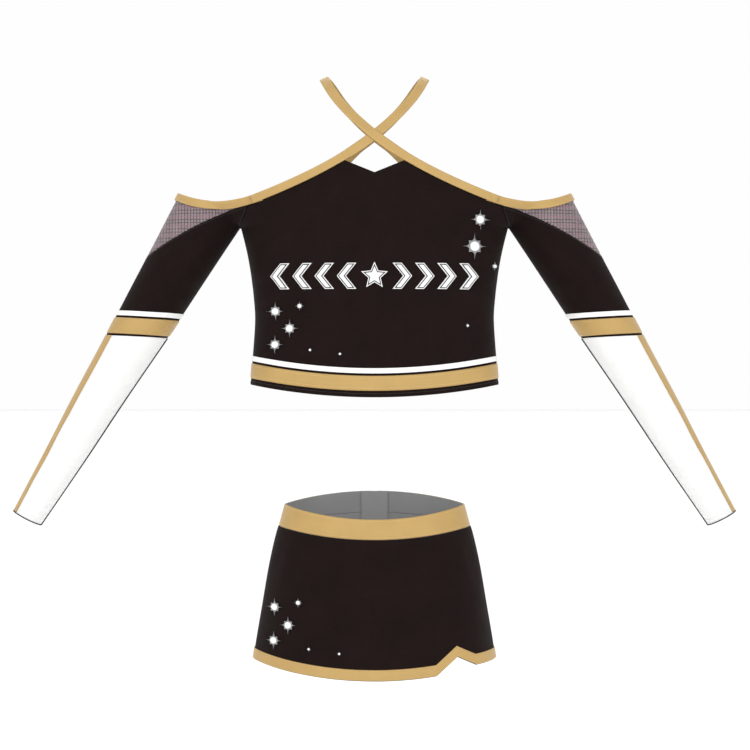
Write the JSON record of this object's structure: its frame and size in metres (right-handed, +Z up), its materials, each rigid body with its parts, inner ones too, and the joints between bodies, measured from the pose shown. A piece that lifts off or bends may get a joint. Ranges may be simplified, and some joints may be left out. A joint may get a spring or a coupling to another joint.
{
  "type": "cheer uniform",
  "caption": "Cold-shoulder long-sleeved crop top with crossed neck straps and a mini skirt, black with gold and white braid, zipped at the back.",
  "frame": {"origin": "on the wearer's vertical axis at armpit height, where the body inside the garment would be", "axes": "+Z up, -Y the wearer's front, +X the wearer's left"},
  "size_m": [1.0266, 0.2212, 0.8477],
  "materials": {
    "black_knit": "black stretch knit, matt",
    "gold_braid": "old-gold satin braid and binding",
    "white_knit": "white stretch knit and twill, matt",
    "mauve_mesh": "mauve-grey open mesh",
    "silver_foil": "heat-set silver foil with a crystal",
    "zip_metal": "nickel-plated zip metal"
  },
  "bodies": {
    "top": {"front_bodice": "black_knit", "back_bodice_left": "black_knit", "back_bodice_right": "black_knit", "white_braid": "white_knit", "gold_braid": "gold_braid", "neck_strap_left": "gold_braid", "neck_strap_right": "gold_braid", "chest_star": "white_knit", "chest_chevron_left_1": "white_knit", "chest_chevron_left_2": "white_knit", "chest_chevron_left_3": "white_knit", "chest_chevron_left_4": "white_knit", "chest_chevron_right_1": "white_knit", "chest_chevron_right_2": "white_knit", "chest_chevron_right_3": "white_knit", "chest_chevron_right_4": "white_knit", "bodice_spark_left_high": "silver_foil", "bodice_spark_left_mid": "silver_foil", "bodice_spark_left_low": "silver_foil", "bodice_spark_right_high": "silver_foil", "bodice_spark_right_mid": "silver_foil", "bodice_spark_right_low": "silver_foil", "top_zip_teeth_left": "zip_metal", "top_zip_teeth_right": "zip_metal", "top_zip_tape_left": "black_knit", "top_zip_tape_right": "black_knit"},
    "left_upper": {"left_upper_sleeve": "black_knit", "left_mesh_insert": "mauve_mesh", "left_sleeve_binding": "gold_braid", "left_sleeve_white_braid": "white_knit", "left_sleeve_gold_braid": "gold_braid"},
    "left_forearm": {"left_lower_sleeve": "white_knit", "left_side_stripe": "gold_braid", "left_underarm_piping": "black_knit", "left_cuff_binding": "black_knit"},
    "right_upper": {"right_upper_sleeve": "black_knit", "right_mesh_insert": "mauve_mesh", "right_sleeve_binding": "gold_braid", "right_sleeve_white_braid": "white_knit", "right_sleeve_gold_braid": "gold_braid"},
    "right_forearm": {"right_lower_sleeve": "white_knit", "right_side_stripe": "gold_braid", "right_underarm_piping": "black_knit", "right_cuff_binding": "black_knit"},
    "skirt": {"waistband": "gold_braid", "skirt_body": "black_knit", "hem_trim": "gold_braid", "skirt_spark_high": "silver_foil", "skirt_spark_mid": "silver_foil", "skirt_spark_low": "silver_foil", "skirt_zip_teeth_left": "zip_metal", "skirt_zip_teeth_right": "zip_metal", "skirt_zip_tape_left": "black_knit", "skirt_zip_tape_right": "black_knit"},
    "top_zip_slider": {"top_zip_slider": "zip_metal"},
    "top_zip_pull": {"top_zip_pull": "zip_metal"},
    "skirt_zip_slider": {"skirt_zip_slider": "zip_metal"},
    "skirt_zip_pull": {"skirt_zip_pull": "zip_metal"}
  },
  "joints": [
    {"name": "left_shoulder_raise", "type": "hinge", "parent": "top", "child": "left_upper", "pos_m": [0.1745, 0, 0.0425], "axis": [0, -1, 0], "range_deg": [0, 62]},
    {"name": "right_shoulder_raise", "type": "hinge", "parent": "top", "child": "right_upper", "pos_m": [-0.1745, 0, 0.0425], "axis": [0, 1, 0], "range_deg": [0, 62]},
    {"name": "left_elbow_bend", "type": "hinge", "parent": "left_upper", "child": "left_forearm", "pos_m": [0.33869, -0.04325, -0.15356], "axis": [-0.8859, 0, -0.4639], "range_deg": [0, 100]},
    {"name": "right_elbow_bend", "type": "hinge", "parent": "right_upper", "child": "right_forearm", "pos_m": [-0.33869, -0.04325, -0.15356], "axis": [-0.8859, 0, 0.4639], "range_deg": [0, 100]},
    {"name": "skirt_pull_down", "type": "slide", "parent": "top", "child": "skirt", "axis": [0, 0, -1], "range_m": [0, 0.3]},
    {"name": "top_zip_slide", "type": "slide", "parent": "top", "child": "top_zip_slider", "axis": [0, -0.0542, -0.9985], "range_m": [0, 0.288]},
    {"name": "top_zip_pull_swing", "type": "hinge", "parent": "top_zip_slider", "child": "top_zip_pull", "pos_m": [0, 0.08989, 0.06586], "axis": [1, 0, 0], "range_deg": [0, 160]},
    {"name": "skirt_zip_slide", "type": "slide", "parent": "skirt", "child": "skirt_zip_slider", "axis": [0, 0.1483, -0.9889], "range_m": [0, 0.138]},
    {"name": "skirt_zip_pull_swing", "type": "hinge", "parent": "skirt_zip_slider", "child": "skirt_zip_pull", "pos_m": [0, 0.07584, -0.38166], "axis": [1, 0, 0], "range_deg": [0, 160]}
  ]
}
